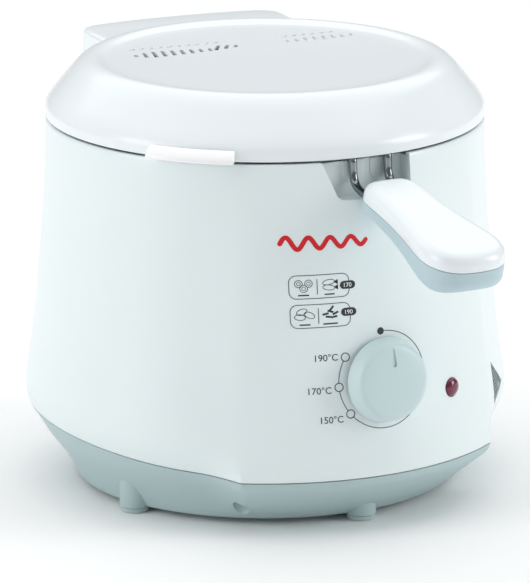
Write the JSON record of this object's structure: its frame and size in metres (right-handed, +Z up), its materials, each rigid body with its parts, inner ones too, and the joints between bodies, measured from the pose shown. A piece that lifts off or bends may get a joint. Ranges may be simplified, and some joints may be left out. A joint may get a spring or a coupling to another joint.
{
  "type": "deep fryer",
  "caption": "Compact round deep fryer: hinged lid with vent, lift-out basket on a front handle, thermostat dial, pilot light, grey base on small feet.",
  "frame": {"origin": "centre of the bounding box's bottom face, on the plane the feet stand on", "axes": "+Z up, +Y from the handle at the front to the hinge at the back, +X to the right seen from the front"},
  "size_m": [0.2604, 0.3532, 0.2314],
  "materials": {
    "white_body": "satin",
    "white_lid": "satin gloss",
    "white_tab": "gloss",
    "grey_base": "satin",
    "grey_handle": "satin",
    "knob_plastic": "satin",
    "dark_plastic": "matt",
    "foot_rubber": "matt",
    "gasket_rubber": "matt",
    "chrome_wire": "bright",
    "zinc_steel": "zinc plated",
    "bowl_coating": "non-stick coating",
    "element_steel": "oxidised",
    "sheet_aluminium": "rolled sheet",
    "copper": "drawn tube",
    "cream_plastic": "matt",
    "live_lead": "matt",
    "neutral_lead": "matt",
    "earth_lead": "matt",
    "pilot_red": "translucent gloss",
    "lamp_glass": "clear",
    "filter_fibre": "open fibre"
  },
  "bodies": {
    "body": {"casing": "white_body", "hinge_bracket": "white_body", "base_pan": "grey_base", "cord_gland": "dark_plastic", "vent_grille": "dark_plastic", "foot_pad_1": "foot_rubber", "foot_pad_2": "foot_rubber", "foot_pad_3": "foot_rubber", "foot_pad_4": "foot_rubber", "foot_pad_5": "foot_rubber", "base_screw_1": "zinc_steel", "base_screw_2": "zinc_steel", "base_screw_3": "zinc_steel", "base_screw_4": "zinc_steel", "base_screw_5": "zinc_steel", "hinge_pin": "zinc_steel", "hinge_screw_1": "zinc_steel", "hinge_screw_2": "zinc_steel", "thermostat_bracket": "zinc_steel", "shield_post_1": "zinc_steel", "shield_post_2": "zinc_steel", "shield_post_3": "zinc_steel", "oil_bowl": "bowl_coating", "heating_element": "element_steel", "heater_plate": "sheet_aluminium", "heat_shield": "sheet_aluminium", "sensor_bulb": "copper", "capillary_tube": "copper", "thermostat_body": "cream_plastic", "terminal_block": "cream_plastic", "thermal_fuse": "cream_plastic", "lead_live": "live_lead", "lead_neutral": "neutral_lead", "lead_earth": "earth_lead", "pilot_lens": "pilot_red", "pilot_lamp": "lamp_glass"},
    "lid": {"lid_shell": "white_lid", "lid_liner": "sheet_aluminium", "lid_gasket": "gasket_rubber", "filter_pad": "filter_fibre", "lid_screw_1": "zinc_steel", "lid_screw_2": "zinc_steel", "lid_screw_3": "zinc_steel", "hinge_cover": "white_lid", "lid_tab": "white_tab"},
    "basket": {"basket": "chrome_wire", "basket_rim_wire": "chrome_wire", "handle_rod_1": "chrome_wire", "handle_rod_2": "chrome_wire", "handle_top": "white_lid", "handle_bottom": "grey_handle", "handle_screw_1": "zinc_steel", "handle_screw_2": "zinc_steel"},
    "knob": {"knob": "knob_plastic", "thermostat_shaft": "zinc_steel"}
  },
  "joints": [
    {"name": "lid_hinge", "type": "hinge", "parent": "body", "child": "lid", "pos_m": [0.01281, 0.16663, 0.212], "axis": [-0.9945, 0.1045, 0], "range_deg": [0, 90]},
    {"name": "basket_lift", "type": "slide", "parent": "body", "child": "basket", "axis": [0, 0, 1], "range_m": [0, 0.06]},
    {"name": "knob_turn", "type": "hinge", "parent": "body", "child": "knob", "pos_m": [-0.0017, -0.08419, 0.083], "axis": [0, 0.9956, -0.0939], "range_deg": [0, 297]}
  ],
  "couplings": [
    {"joint": "basket_lift", "follows": "lid_hinge", "m_per_rad": 0.038}
  ]
}
